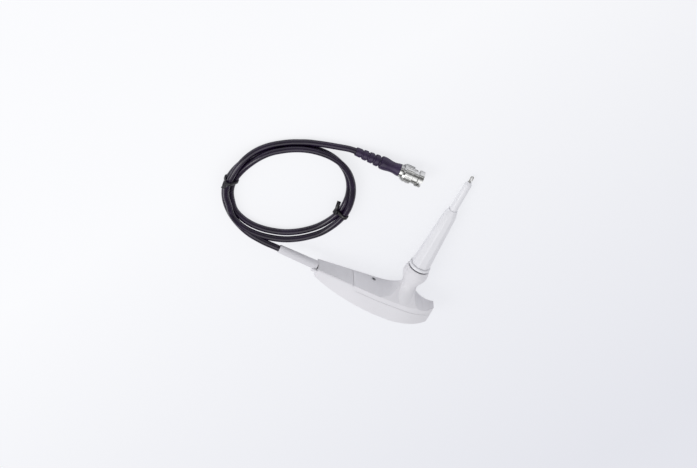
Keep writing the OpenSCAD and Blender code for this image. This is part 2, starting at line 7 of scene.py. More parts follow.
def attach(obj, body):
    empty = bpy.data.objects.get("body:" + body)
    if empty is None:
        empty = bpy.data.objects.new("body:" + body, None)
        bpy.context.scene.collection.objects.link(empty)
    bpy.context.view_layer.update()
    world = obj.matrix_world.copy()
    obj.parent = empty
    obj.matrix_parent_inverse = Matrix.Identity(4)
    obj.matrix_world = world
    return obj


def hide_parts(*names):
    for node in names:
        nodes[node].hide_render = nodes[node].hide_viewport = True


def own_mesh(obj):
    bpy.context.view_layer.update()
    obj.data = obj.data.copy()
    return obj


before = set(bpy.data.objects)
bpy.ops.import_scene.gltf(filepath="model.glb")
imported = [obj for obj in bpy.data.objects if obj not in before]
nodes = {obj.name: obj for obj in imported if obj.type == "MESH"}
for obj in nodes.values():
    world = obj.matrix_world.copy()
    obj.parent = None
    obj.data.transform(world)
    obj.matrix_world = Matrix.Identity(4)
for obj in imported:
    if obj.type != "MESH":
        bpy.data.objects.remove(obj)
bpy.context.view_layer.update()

# where the middle of the neck's groove lies, in metres, and how far the barrel droops, in degrees
lie = {"shift": (0.04028196, -0.02119212), "lift": 0.01033963, "droop": 4.777507}


def laid(x, y, z):
    # a point drawn about the neck's groove, in mm, as the probe lies on the table
    droop = math.radians(lie["droop"])
    across = y * math.cos(droop) + z * math.sin(droop)
    up = z * math.cos(droop) - y * math.sin(droop)
    return Vector((x / 1000 + lie["shift"][0], across / 1000 + lie["shift"][1], up / 1000 + lie["lift"]))


def onTable(x, y, z):
    # a point of the cable or the plug, in mm, with its height above the table
    return Vector((x / 1000 + lie["shift"][0], y / 1000 + lie["shift"][1], z / 1000))


def ease(low, high, value):
    # 0 below low, 1 above high, and a smooth step between them
    part = min(max((value - low) / (high - low), 0.0), 1.0)
    return part * part * (3 - 2 * part)


# directions from the aim point, and the view's width, in metres
view = {"from": (-0.285, 0.576, 0.766), "right": (0.8965, 0.4431, 0.0), "width": 0.5488,
        "aim": (-0.018116, -0.028244, -0.005977), "away": 1.5, "clip": 10}


def makeCamera():
    back = Vector(view["from"]).normalized()
    right = Vector(view["right"]).normalized()
    up = back.cross(right)
    lens = bpy.data.cameras.new("probeCamera")
    lens.type = "ORTHO"
    lens.ortho_scale = view["width"]
    lens.clip_end = view["clip"]
    made = bpy.data.objects.new("probeCamera", lens)
    turn = Matrix((right, up, back)).transposed().to_4x4()
    made.matrix_world = Matrix.Translation(Vector(view["aim"]) + back * view["away"]) @ turn
    bpy.context.scene.collection.objects.link(made)
    bpy.context.scene.camera = made


makeCamera()
print("camera placed")


# helpers that build meshes
def makePiece(name, points, faces, uvs=None):
    mesh = bpy.data.meshes.new(name)
    mesh.from_pydata([tuple(p) for p in points], [], faces)
    mesh.shade_smooth()
    if uvs:
        layer = mesh.uv_layers.new(name="UVMap")
        for loop, uv in zip(layer.data, uvs):
            loop.uv = uv
    mesh.update()
    made = bpy.data.objects.new(name, mesh)
    bpy.context.scene.collection.objects.link(made)
    return made


def throughPoints(points, step, between=24):
    # a smooth line through the points, with a point every step
    dense = []
    count = len(points)
    for i in range(count - 1):
        a, b = points[i], points[i + 1]
        before = points[i - 1] if i else a * 2 - b
        after = points[i + 2] if i + 2 < count else b * 2 - a
        # knots go by the square root of the gaps, so that the line makes no loops
        k0 = 0.0
        k1 = k0 + max((a - before).length, 1e-9) ** 0.5
        k2 = k1 + max((b - a).length, 1e-9) ** 0.5
        k3 = k2 + max((after - b).length, 1e-9) ** 0.5
        for n in range(between):
            k = k1 + (k2 - k1) * n / between
            a1 = before * ((k1 - k) / (k1 - k0)) + a * ((k - k0) / (k1 - k0))
            a2 = a * ((k2 - k) / (k2 - k1)) + b * ((k - k1) / (k2 - k1))
            a3 = b * ((k3 - k) / (k3 - k2)) + after * ((k - k2) / (k3 - k2))
            b1 = a1 * ((k2 - k) / (k2 - k0)) + a2 * ((k - k0) / (k2 - k0))
            b2 = a2 * ((k3 - k) / (k3 - k1)) + a3 * ((k - k1) / (k3 - k1))
            dense.append(b1 * ((k2 - k) / (k2 - k1)) + b2 * ((k - k1) / (k2 - k1)))
    dense.append(points[-1])
    even, walked, due = [dense[0]], 0.0, step
    for a, b in zip(dense, dense[1:]):
        gap = (b - a).length
        while gap and walked + gap >= due:
            even.append(a.lerp(b, (due - walked) / gap))
            due += step
        walked += gap
    if (even[-1] - dense[-1]).length > step / 4:
        even.append(dense[-1])
    return even


def ringFrames(path):
    # side and top directions along a line, carried from ring to ring so that the tube doesn't twist
    frames, top = [], Vector((0, 0, 1))
    for i in range(len(path)):
        ahead = (path[min(i + 1, len(path) - 1)] - path[max(i - 1, 0)]).normalized()
        top = (top - ahead * top.dot(ahead)).normalized()
        frames.append((ahead.cross(top), top))
    return frames


def sweepTube(name, path, radius, sides=20):
    # a round tube along a line, with its ends closed
    points, faces, uvs = [], [], []
    for spot, (side, top) in zip(path, ringFrames(path)):
        for k in range(sides):
            turn = 2 * math.pi * k / sides
            points.append(spot - top * (radius * math.cos(turn)) + side * (radius * math.sin(turn)))
    along = 0.0
    for i in range(len(path) - 1):
        reach = (path[i + 1] - path[i]).length
        for k in range(sides):
            a, b = i * sides + k, i * sides + (k + 1) % sides
            faces.append((a, b, b + sides, a + sides))
            uvs += [(along, k / sides), (along, (k + 1) / sides), (along + reach, (k + 1) / sides),
                    (along + reach, k / sides)]
        along += reach
    last = (len(path) - 1) * sides
    faces += [tuple(range(sides))[::-1], tuple(last + k for k in range(sides))]
    uvs += [(0, 0)] * (2 * sides)
    return makePiece(name, points, faces, uvs)


def softenLine(line, passes=2):
    # cuts the corners of a profile, and keeps its two ends
    for _ in range(passes):
        cut = [line[0]]
        for (x0, r0), (x1, r1) in zip(line, line[1:]):
            cut += [(x0 * 0.75 + x1 * 0.25, r0 * 0.75 + r1 * 0.25),
                    (x0 * 0.25 + x1 * 0.75, r0 * 0.25 + r1 * 0.75)]
        line = cut + [line[-1]]
    return line


def turnPiece(name, line, start, axis, sides=72):
    # a closed piece turned about an axis, from (distance, radius) pairs in mm
    axis = axis.normalized()
    side = Vector((0, 0, 1)).cross(axis).normalized()
    top = axis.cross(side)
    points, faces, uvs = [], [], []
    for along, radius in line:
        for k in range(sides):
            turn = 2 * math.pi * k / sides
            reach = radius / 1000
            points.append(start + axis * (along / 1000) + side * (reach * math.cos(turn))
                          + top * (reach * math.sin(turn)))
    rows = len(line)
    for i in range(rows):
        j = (i + 1) % rows
        low, high = line[i][0] / 1000, line[j][0] / 1000
        for k in range(sides):
            n = (k + 1) % sides
            faces.append((i * sides + k, i * sides + n, j * sides + n, j * sides + k))
            uvs += [(low, k / sides), (low, (k + 1) / sides), (high, (k + 1) / sides), (high, k / sides)]
    return makePiece(name, points, faces, uvs)


# the boot hangs a little from the handle, and the plug lies tilted on its nut; mm and degrees
boot = {"at": (-73, -32.8), "sag": 6, "length": 34,
        "profile": [(0.52, 2.7), (0.52, 3.3), (0.56, 3.6), (0.9, 3.73), (4, 3.7), (10, 3.63), (18, 3.54),
                    (26, 3.45), (31, 3.38), (33.3, 3.34), (33.85, 3.2), (34.0, 2.95), (34.0, 2.62),
                    (20, 2.62), (4, 2.62)]}
plug = {"at": (-94.81, 78.99, 3.6167), "tilt": 4.8178, "turn": 0.2}


def bootPoint(away):
    # a point on the boot's axis, in mm from the handle
    sag = math.radians(boot["sag"])
    x, y = boot["at"]
    return laid(x - away * math.cos(sag), y, -away * math.sin(sag))


def plugPoint(along):
    # a point on the plug's axis, in mm from the start of its relief
    tilt, turn = math.radians(plug["tilt"]), math.radians(plug["turn"])
    x, y, z = plug["at"]
    return onTable(x + along * math.cos(tilt) * math.cos(turn),
                   y + along * math.cos(tilt) * math.sin(turn), z + along * math.sin(tilt))


# the lead's radius and step in metres; the places it passes outside the coil in mm
lead = {"radius": 0.0025, "step": 0.0013, "inBoot": (20, 27, 34), "inPlug": (0, 8, 16),
        "out": [(-113, -33.2, 8.8), (-119, -33.2, 8.4), (-124.5, -32.8, 7.9), (-132, -32, 7),
                (-139.6, -30.2, 5.6), (-148, -26.7, 4), (-155.2, -21.9, 3)],
        "off": [(-143.5, 64.2, 2.8), (-137.7, 67.3, 3), (-132, 70.1, 3.2), (-126, 72.1, 3.3),
                (-119, 74.2, 3.4), (-112, 76, 3.5), (-105.5, 77.6, 3.55), (-99.8, 78.8, 3.6)]}
# the coil's centre, the bundle's distance from it, where that isn't quite round, and the ties; mm and
# degrees, which along the strand count clockwise from the coil's -Y side
coil = {"centre": (-123.4, 19.2), "middle": 48.15, "start": 270, "first": 50, "last": 866, "every": 12,
        "push": (0.55, 1.25), "long": (-0.15, 3.2), "press": 2.3, "pressAt": 32, "pressOver": 38,
        "ties": (191, -1.4), "lift": 1.05, "liftOver": 15}
# how the turns lie on each other: where the second and the third begin, each one's roll about the first
# and the gap to it. A move is by so much, from one place along the strand to another
bundle = {"across": 1.6, "acrossMoves": [(-4.1, 72, 150), (1, 275, 305), (-1, 330, 360)],
          "second": 410, "secondRoll": 180,
          "secondMoves": [(-108, 425, 500), (-17, 540, 585), (-19, 600, 655), (24, 738, 768)],
          "third": 770, "thirdRoll": 120, "thirdMoves": [(-25, 770, 792), (-93, 796, 856)],
          "gap": 5.03, "gapMoves": [(0.6, 640, 665), (-0.6, 725, 765)]}


def moved(start, moves, turned):
    return start + sum(by * ease(low, high, turned) for by, low, high in moves)


def strandAt(turned):
    # distance from the bundle's middle and height, in mm; the first turn lies on the table
    if turned < bundle["second"]:
        return moved(bundle["across"], bundle["acrossMoves"], turned), lead["radius"] * 1000
    gap = bundle["gap"]
    if turned < bundle["third"]:
        off, high = strandAt(turned - 360)
        roll = moved(bundle["secondRoll"], bundle["secondMoves"], turned)
        gap = moved(gap, bundle["gapMoves"], turned)
    else:
        off, high = strandAt(turned - 720)
        roll = moved(bundle["thirdRoll"], bundle["thirdMoves"], turned)
    way = math.radians(roll)
    return off + gap * math.cos(way), high + gap * math.sin(way)


def aside(angle, place):
    # degrees from a place, the short way round
    return (angle - place + 180) % 360 - 180


def tieLift(angle):
    # the ties pass under the bundle and hold it a little off the table
    return sum(coil["lift"] * math.exp(-(aside(angle, place) / coil["liftOver"]) ** 2)
               for place in coil["ties"])


def middleAt(angle):
    # the coil is longer one way, pushed a little towards the plug and pressed in beside it
    way = math.radians(angle)
    push = coil["push"][0] * math.cos(way) + coil["push"][1] * math.sin(way)
    long = coil["long"][0] * math.cos(2 * way) + coil["long"][1] * math.sin(2 * way)
    press = coil["press"] * math.exp(-(aside(angle, coil["pressAt"]) / coil["pressOver"]) ** 2)
    return coil["middle"] + push + long - press


def coilPoint(turned):
    off, high = strandAt(turned)
    angle = coil["start"] - turned
    away, way = middleAt(angle) + off, math.radians(angle)
    x, y = coil["centre"]
    return onTable(x + away * math.cos(way), y + away * math.sin(way), high + tieLift(angle))


leadPoints = [bootPoint(away) for away in lead["inBoot"]]
leadPoints += [onTable(*p) for p in lead["out"]]
leadPoints += [coilPoint(turned) for turned in range(coil["first"], coil["last"] + 1, coil["every"])]
leadPoints += [onTable(*p) for p in lead["off"]]
leadPoints += [plugPoint(along) for along in lead["inPlug"]]
leadLine = throughPoints(leadPoints, lead["step"])
leadLength = sum((b - a).length for a, b in zip(leadLine, leadLine[1:]))
leadPiece = sweepTube("coaxLead", leadLine, lead["radius"])
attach(leadPiece, "probe")
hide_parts("cable_lead", "cable_coil", "cable_tail")
print("lead of %.3f m laid" % leadLength)


# cable ties: a strap drawn round the strands, a head and a cut end, in mm
tie = {"inner": 2.53, "thick": 0.95, "width": 2.8, "round": 0.25, "rim": 0.2, "bulge": 0.02, "sides": 96,
       "clear": 0.03, "sink": 0.3, "head": (3.6, 4.2, 2.9), "corner": 0.45, "headLift": 0.9,
       "leftLean": 48, "rightLean": 146, "endHalf": 1.5, "endThick": 0.42, "endClear": 0.3, "endSteps": 8,
       "shortEnd": (0.6, 1.2, 5.2), "longEnd": (1.4, 1.6, 2.8, 1.2, 3.1, 8.6)}
tieOuter = tie["inner"] + tie["thick"]


def bundleAt(angle):
    # the strands' middles in a cut across the bundle, as (distance from the coil's centre, height)
    cut = []
    for turns in range(3):
        turned = (coil["start"] - angle) % 360 + 360 * turns
        if coil["first"] <= turned <= coil["last"]:
            off, high = strandAt(turned)
            cut.append((middleAt(angle) + off, high + tieLift(angle)))
    return cut


def aroundBundle(cut, reach, turn):
    # the point of a band drawn tight round the strands, on the side that faces this way
    best = max(cut, key=lambda c: c[0] * math.cos(turn) + c[1] * math.sin(turn))
    return best[0] + reach * math.cos(turn), best[1] + reach * math.sin(turn)


def tieAxes(angle):
    # the coil's centre, then out from it, up from the table and along the strands
    turn = math.radians(angle)
    return (onTable(*coil["centre"], 0), Vector((math.cos(turn), math.sin(turn), 0)), Vector((0, 0, 1)),
            Vector((-math.sin(turn), math.cos(turn), 0)))


def tieSpot(axes, reach, high, slide):
    centre, away, up, along = axes
    return centre + away * (reach / 1000) + up * (high / 1000) + along * (slide / 1000)


def tieStrap(axes, cut):
    half, inner, rim = tie["width"] / 2, tie["inner"] + tie["round"], tieOuter - tie["rim"]
    edge = [(tie["inner"], -half), (tie["inner"], half), (inner, half + tie["bulge"]), (rim, half),
            (tieOuter, half - tie["round"]), (tieOuter, -half + tie["round"]), (rim, -half),
            (inner, -half - tie["bulge"])]
    points, faces = [], []
    for k in range(tie["sides"]):
        way = 2 * math.pi * k / tie["sides"]
        for reach, slide in edge:
            x, z = aroundBundle(cut, reach, way)
            floor = tie["clear"] + tie["sink"] * (tieOuter - reach)
            points.append(tieSpot(axes, x, max(z, floor), slide))
    wide = len(edge)
    for k in range(tie["sides"]):
        n = (k + 1) % tie["sides"]
        for j in range(wide):
            i = (j + 1) % wide
            faces.append((k * wide + j, k * wide + i, n * wide + i, n * wide + j))
    return points, faces


def tieHead(axes, at, lean):
    # a block with rounded edges that stands on the strap
    headUp = axes[1] * math.cos(lean) + axes[2] * math.sin(lean)
    block = bmesh.new()
    bmesh.ops.create_cube(block, size=1.0)
    for v in block.verts:
        v.co = Vector([c * s / 1000 for c, s in zip(v.co, tie["head"])])
    bmesh.ops.bevel(block, geom=list(block.edges), offset=tie["corner"] / 1000, segments=3, profile=0.6,
                    affect="EDGES")
    block.verts.index_update()
    centre, side = tieSpot(axes, *at, 0), headUp.cross(axes[3])
    points = [centre + side * v.co.x + axes[3] * v.co.y + headUp * v.co.z for v in block.verts]
    faces = [tuple(v.index for v in f.verts) for f in block.faces]
    block.free()
    return points, faces


def shortEnd(part):
    # leans out and droops as it runs along the strands, in mm at this part of its length
    out, droop, length = tie["shortEnd"]
    return out * part, -droop * part * part, length * part


def longEnd(part):
    # curls in, stays level for a while and then falls
    curl, bend, fall, bow, wave, length = tie["longEnd"]
    return -curl * math.sin(bend * part), -fall * part + bow * math.sin(wave * part), length * part


def tieEnd(axes, at, endAt):
    # the cut end comes out of the head and runs along the strands
    steps = tie["endSteps"]
    strip = [Vector((*at, 0)) + Vector(endAt(n / steps)) for n in range(steps + 1)]
    points, faces = [], []
    for n, here in enumerate(strip):
        ahead = strip[min(n + 1, steps)] - strip[max(n - 1, 0)]
        side = ahead.cross(Vector((0, 1, 0))).normalized() * tie["endHalf"]
        thick = side.cross(ahead).normalized() * tie["endThick"]
        for a, b in ((1, -1), (1, 1), (-1, 1), (-1, -1)):
            corner = here + thick * a + side * b
            points.append(tieSpot(axes, corner.x, max(corner.y, tie["endClear"]), corner.z))
    for n in range(steps):
        for j in range(4):
            a, b = n * 4 + j, n * 4 + (j + 1) % 4
            faces.append((a, b, b + 4, a + 4))
    return points, faces + [(3, 2, 1, 0), tuple(4 * steps + j for j in range(4))]


def makeTie(name, angle, lean, endAt):
    axes, cut, lean = tieAxes(angle), bundleAt(angle), math.radians(lean)
    headAt = aroundBundle(cut, tieOuter + tie["headLift"], lean)
    points, faces = [], []
    for more, sides in (tieStrap(axes, cut), tieHead(axes, headAt, lean), tieEnd(axes, headAt, endAt)):
        base = len(points)
        points += more
        faces += [tuple(base + i for i in face) for face in sides]
    made = makePiece(name, points, faces)
    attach(made, "probe")
    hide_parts("cable_ties")
    return made


# one head faces up and out, the other in and a little up
tiePieces = [makeTie("tieLeft", coil["ties"][0], tie["leftLean"], shortEnd),
             makeTie("tieRight", coil["ties"][1], tie["rightLean"], longEnd)]
print("ties closed")


# the plug's relief: three ribs, a grip that swells and narrows, and a skirt, in mm
relief = {"profile": [(0, 2.62), (0, 2.9), (0.05, 3.15), (0.5, 3.45), (1.2, 3.56), (4.4, 3.6), (5.0, 3.58),
                      (5.25, 3.3), (5.3, 3.1), (5.8, 3.05), (6.3, 3.1), (6.4, 3.5), (6.7, 4.0),
                      (8.4, 4.15), (9.9, 4.1), (10.2, 3.7), (10.3, 3.3), (10.8, 3.25), (11.4, 3.3),
                      (11.5, 3.8), (11.9, 4.25), (13.5, 4.35), (15.0, 4.3), (15.35, 3.9), (15.4, 3.5),
                      (16.0, 3.45), (16.6, 3.5), (16.7, 4.1), (17.0, 4.6), (18.6, 4.75), (20.0, 4.7),
                      (20.35, 4.2), (20.4, 3.8), (21.0, 3.75), (21.6, 3.8), (21.7, 4.5), (22.2, 5.1),
                      (23.2, 5.35), (24.4, 5.4), (26.2, 5.3), (28, 5.0), (30, 4.65), (32, 4.42),
                      (33.6, 4.42), (35, 4.6), (36.6, 4.95), (37.6, 5.1), (38.1, 5.1), (38.28, 4.9),
                      (38.3, 4.6), (38.3, 3.35), (30, 3.3), (23, 2.62)]}


def makeRelief():
    axis = plugPoint(10) - plugPoint(0)
    made = turnPiece("plugRelief", softenLine(relief["profile"]), plugPoint(0), axis)
    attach(made, "probe")
    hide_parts("plug_boot")
    return made


reliefPiece = makeRelief()
tuple(bootPoint(boot["length"]))
print("plug relief turned")


def makeBoot():
    axis = bootPoint(boot["length"]) - bootPoint(0)
    made = turnPiece("handleBoot", softenLine(boot["profile"]), bootPoint(0), axis)
    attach(made, "probe")
    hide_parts("cable_boot")
    return made


bootPiece = makeBoot()
print("boot made")


# the hook's spring, in mm; the real one shortens as the sleeve slides back
spring = {"turns": 7, "steps": 24, "radius": 2.3, "wire": 0.3, "sides": 10, "start": 44.388,
          "length": 11.259, "travel": 5.0}


def makeSpring():
    count = spring["turns"] * spring["steps"]
    line = []
    for n in range(count + 1):
        turn = 2 * math.pi * n / spring["steps"]
        line.append(laid(spring["radius"] * math.cos(turn), spring["start"] + spring["length"] * n / count,
                         spring["radius"] * math.sin(turn)))
    made = sweepTube("hookSpring", line, spring["wire"] / 1000, spring["sides"])
    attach(made, "probe")
    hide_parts("hook_spring")
    tuple((laid(0, 1, 0) - laid(0, 0, 0)).normalized())
    tuple(laid(0, spring["start"], 0))
    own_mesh(made)
    return made


springPiece = makeSpring()
print("spring wound")


# finishes
def paint(code):
    # a hex colour as linear light
    parts = [int(code[i:i + 2], 16) / 255 for i in (1, 3, 5)]
    return tuple(c / 12.92 if c <= 0.04045 else ((c + 0.055) / 1.055) ** 2.4 for c in parts) + (1.0,)


class Wire:
    # a socket of a material; sums on values add Math nodes
    def __init__(self, tree, socket=None):
        self.tree, self.socket = tree, socket

    def node(self, kind, settings=None, inputs=None, out=0):
        made = self.tree.nodes.new("ShaderNode" + kind)
        for name, value in (settings or {}).items():
            if name == "stops":
                for place, _ in value[1:-1]:
                    made.color_ramp.elements.new(place)
                for element, (place, colour) in zip(made.color_ramp.elements, value):
                    element.position, element.color = place, colour
            else:
                setattr(made, name, value)
        for name, value in (inputs or {}).items():
            if isinstance(value, Wire):
                self.tree.links.new(value.socket, made.inputs[name])
            else:
                made.inputs[name].default_value = value
        return Wire(self.tree, made.outputs[out] if len(made.outputs) else None)

    def math(self, operation, a, b=0.0):
        return self.node("Math", {"operation": operation}, {0: a, 1: b})

    def __add__(self, other):
        return self.math("ADD", self, other)

    def __radd__(self, other):
        return self.math("ADD", other, self)

    def __sub__(self, other):
        return self.math("SUBTRACT", self, other)

    def __rsub__(self, other):
        return self.math("SUBTRACT", other, self)

    def __mul__(self, other):
        return self.math("MULTIPLY", self, other)

    def __rmul__(self, other):
        return self.math("MULTIPLY", other, self)

    def spread(self, low, high):
        # 0 below low, 1 above high
        return self.node("MapRange", None, {"Value": self, "From Min": low, "From Max": high}, "Result")

    def blend(self, first, second):
        # a colour between two, by this value
        return self.node("Mix", {"data_type": "RGBA"}, {0: self, 6: first, 7: second}, 2)

    def dot(self, first, second):
        return self.node("VectorMath", {"operation": "DOT_PRODUCT"}, {0: first, 1: second}, "Value")

    def noise(self, place, scale, detail=3.0):
        return self.node("TexNoise", None, {"Vector": place, "Scale": scale, "Detail": detail})

    def rounded(self, radius):
        # edges softened by so much; nothing on turned pieces, whose facets would show
        if not radius:
            return self.node("NewGeometry", out="Normal")
        return self.node("Bevel", {"samples": 6}, {"Radius": radius})

    def edges(self, rounded, gain):
        # 1 along softened edges, 0 on the faces
        flat = self.node("NewGeometry", out="Normal")
        return ((1 - self.dot(rounded, flat)) * gain).spread(0.0, 1.0)

    def stretch(self, place, scale):
        return self.node("Mapping", None, {"Vector": place, "Scale": scale})

    def bump(self, depth, distance, height, rounded=None):
        inputs = {"Strength": depth, "Distance": distance, "Height": height}
        if rounded:
            inputs["Normal"] = rounded
        return self.node("Bump", None, inputs)


def newFinish(name):
    made = bpy.data.materials.new(name)
    made.use_nodes = True
    made.node_tree.nodes.clear()
    return made, Wire(made.node_tree)


def closeFinish(wire, inputs):
    shader = wire.node("BsdfPrincipled", None, inputs, "BSDF")
    wire.node("OutputMaterial", None, {"Surface": shader})


# where clouds and specks begin and end in the noise, and how much each one roughens
plasticMix = {"clouds": (0.35, 0.65), "specks": (0.66, 0.74), "speckSize": 0.31, "edges": 6.0,
              "roughGrain": 0.2, "roughCloud": 0.05, "roughEdge": 0.12, "bump": 0.0001}


def mouldedPlastic(name, look):
    # fine spark texture, cloudy tone, softened and slightly polished edges
    made, wire = newFinish(name)
    place = wire.node("TexCoord", out="Object")
    rounded = wire.rounded(look["edge"])
    edge = wire.edges(rounded, plasticMix["edges"])
    cloud = wire.noise(place, look["cloud"]).spread(*plasticMix["clouds"])
    grain = wire.noise(place, look["grain"], 4.0)
    speck = wire.noise(place, look["grain"] * plasticMix["speckSize"], 1.0).spread(*plasticMix["specks"])
    colour = cloud.blend(paint(look["colour"]), paint(look["shade"]))
    colour = (speck * look["speck"]).blend(colour, paint(look["dirt"]))
    colour = (edge * look["polish"]).blend(colour, paint(look["worn"]))
    rough = look["rough"] + (grain - 0.5) * plasticMix["roughGrain"] + cloud * plasticMix["roughCloud"]
    rough = rough - edge * plasticMix["roughEdge"]
    closeFinish(wire, {"Base Color": colour, "Roughness": rough, "Specular IOR Level": look["shine"],
                       "Normal": wire.bump(look["depth"], plasticMix["bump"], grain, rounded)})
    return made


shellLook = {"colour": "#E6E5E8", "shade": "#E0DFE2", "dirt": "#CBCACD", "worn": "#F1F0F2",
             "rough": 0.46, "cloud": 22.0, "grain": 2600.0, "depth": 0.32,
             "edge": 0.00045, "speck": 0.18, "polish": 0.45, "shine": 0.4}
coverLook = {"colour": "#DDDCDF", "shade": "#D6D5D8", "dirt": "#B5B4B7", "worn": "#DEDDE0",
             "rough": 0.5, "cloud": 26.0, "grain": 2600.0, "depth": 0.36,
             "edge": 0.0003, "speck": 0.2, "polish": 0.4, "shine": 0.4}
barrelLook = {"colour": "#E9E9EC", "shade": "#E3E3E6", "dirt": "#D6D6D9", "worn": "#F6F6F8",
              "rough": 0.3, "cloud": 30.0, "grain": 3200.0, "depth": 0.12,
              "edge": 0.0, "speck": 0.1, "polish": 0.4, "shine": 0.5}
bootLook = {"colour": "#D6D5D9", "shade": "#CECDD1", "dirt": "#B9B8BC", "worn": "#E2E1E5",
            "rough": 0.5, "cloud": 40.0, "grain": 2400.0, "depth": 0.25,
            "edge": 0.0, "speck": 0.15, "polish": 0.3, "shine": 0.4}
coreLook = {"colour": "#E9E6DD", "shade": "#DFDBD0", "dirt": "#C9C4B6", "worn": "#F2F0EA",
            "rough": 0.4, "cloud": 60.0, "grain": 3000.0, "depth": 0.12,
            "edge": 0.0002, "speck": 0.1, "polish": 0.3, "shine": 0.5}
ceramicLook = {"colour": "#4FB6AE", "shade": "#46A49D", "dirt": "#35827C", "worn": "#8FD2CC",
               "rough": 0.32, "cloud": 300.0, "grain": 3000.0, "depth": 0.15,
               "edge": 0.0002, "speck": 0.2, "polish": 0.3, "shine": 0.5}
resistorLook = {"colour": "#3F6FA8", "shade": "#386497", "dirt": "#284A72", "worn": "#6A93C4",
                "rough": 0.36, "cloud": 260.0, "grain": 2600.0, "depth": 0.25,
                "edge": 0.0003, "speck": 0.2, "polish": 0.3, "shine": 0.5}
finish = {"shell": mouldedPlastic("moulded grey shell", shellLook),
          "cover": mouldedPlastic("darker grey cover", coverLook),
          "barrel": mouldedPlastic("white barrel", barrelLook),
          "boot": mouldedPlastic("grey boot", bootLook),
          "core": mouldedPlastic("cable core", coreLook),
          "ceramic": mouldedPlastic("trimmer ceramic", ceramicLook),
          "resistor": mouldedPlastic("resistor enamel", resistorLook)}
print("plastics mixed")


jacketLook = {"colour": "#150B20", "shade": "#20122E", "scuff": "#3B3047", "rough": 0.22, "shine": 0.6,
              "lines": (14.0, 34.0, 1.0), "cloud": 60.0, "clouds": (0.35, 0.65), "grain": 2200.0,
              "scratch": 240.0, "scratches": (0.58, 0.72), "patch": 35.0, "patches": (0.45, 0.65),
              "scuffed": 0.35, "roughLines": 0.15, "roughScuff": 0.18, "roughGrain": 0.08,
              "bumpLines": 0.6, "bumpGrain": 0.4, "depth": 0.2, "bump": 0.00008}


def cableJacket(name, look):
    # extruded jacket: faint lines along it, soft scuffs, a waxy gloss
    made, wire = newFinish(name)
    place = wire.node("TexCoord", out="Object")
    lines = wire.noise(wire.stretch(wire.node("TexCoord", out="UV"), look["lines"]), 1.0, 2.0)
    cloud = wire.noise(place, look["cloud"]).spread(*look["clouds"])
    grain = wire.noise(place, look["grain"], 3.0)
    scratch = wire.noise(place, look["scratch"], 4.0).spread(*look["scratches"])
    scuff = scratch * wire.noise(place, look["patch"]).spread(*look["patches"])
    colour = cloud.blend(paint(look["colour"]), paint(look["shade"]))
    colour = (scuff * look["scuffed"]).blend(colour, paint(look["scuff"]))
    rough = look["rough"] + (lines - 0.5) * look["roughLines"] + scuff * look["roughScuff"]
    rough = rough + (grain - 0.5) * look["roughGrain"]
    height = lines * look["bumpLines"] + grain * look["bumpGrain"]
    closeFinish(wire, {"Base Color": colour, "Roughness": rough, "Specular IOR Level": look["shine"],
                       "Normal": wire.bump(look["depth"], look["bump"], height)})
    return made


rubberMix = {"clouds": (0.35, 0.65), "bloomSize": 3.3, "blooms": (0.5, 0.75), "roughGrain": 0.25,
             "roughBloom": 0.1, "bump": 0.0001}


def blackRubber(name, look):
    # cloudy, with a pale bloom as on old rubber
    made, wire = newFinish(name)
    place = wire.node("TexCoord", out="Object")
    rounded = wire.rounded(look["edge"])
    cloud = wire.noise(place, look["cloud"]).spread(*rubberMix["clouds"])
    grain = wire.noise(place, look["grain"], 4.0)
    bloom = wire.noise(place, look["cloud"] * rubberMix["bloomSize"], 2.0).spread(*rubberMix["blooms"])
    colour = cloud.blend(paint(look["colour"]), paint(look["shade"]))
    colour = (bloom * look["bloom"]).blend(colour, paint(look["dust"]))
    rough = look["rough"] + (grain - 0.5) * rubberMix["roughGrain"] + bloom * rubberMix["roughBloom"]
    closeFinish(wire, {"Base Color": colour, "Roughness": rough, "Specular IOR Level": look["shine"],
                       "Normal": wire.bump(look["depth"], rubberMix["bump"], grain, rounded)})
    return made


plugLook = {"colour": "#271A38", "shade": "#342546", "dust": "#5C5268", "rough": 0.32, "cloud": 90.0,
            "grain": 1900.0, "bloom": 0.12, "depth": 0.3, "edge": 0.0, "shine": 0.5}
tieLook = {"colour": "#141318", "shade": "#1D1C22", "dust": "#3C3B42", "rough": 0.28, "cloud": 120.0,
           "grain": 2500.0, "bloom": 0.1, "depth": 0.2, "edge": 0.0002, "shine": 0.6}
gasketLook = {"colour": "#55545A", "shade": "#605F65", "dust": "#7B7A80", "rough": 0.6, "cloud": 120.0,
              "grain": 2500.0, "bloom": 0.15, "depth": 0.3, "edge": 0.0002, "shine": 0.35}
chipLook = {"colour": "#1C1B1E", "shade": "#252428", "dust": "#3F3E43", "rough": 0.5, "cloud": 200.0,
            "grain": 4000.0, "bloom": 0.1, "depth": 0.2, "edge": 0.0001, "shine": 0.45}
finish["jacket"] = cableJacket("coaxial jacket", jacketLook)
finish["plugRubber"] = blackRubber("plug rubber", plugLook)
finish["tie"] = blackRubber("tie nylon", tieLook)
finish["gasket"] = blackRubber("gasket rubber", gasketLook)
finish["chip"] = blackRubber("chip epoxy", chipLook)
print("rubbers mixed")


metalMix = {"edges": 5.0, "brightEdge": 0.5, "patches": (0.4, 0.68), "grain": 3500.0, "roughDrawn": 0.12,
            "roughEdge": 0.05, "bumpDrawn": 0.7, "bumpGrain": 0.3, "bump": 0.00005}


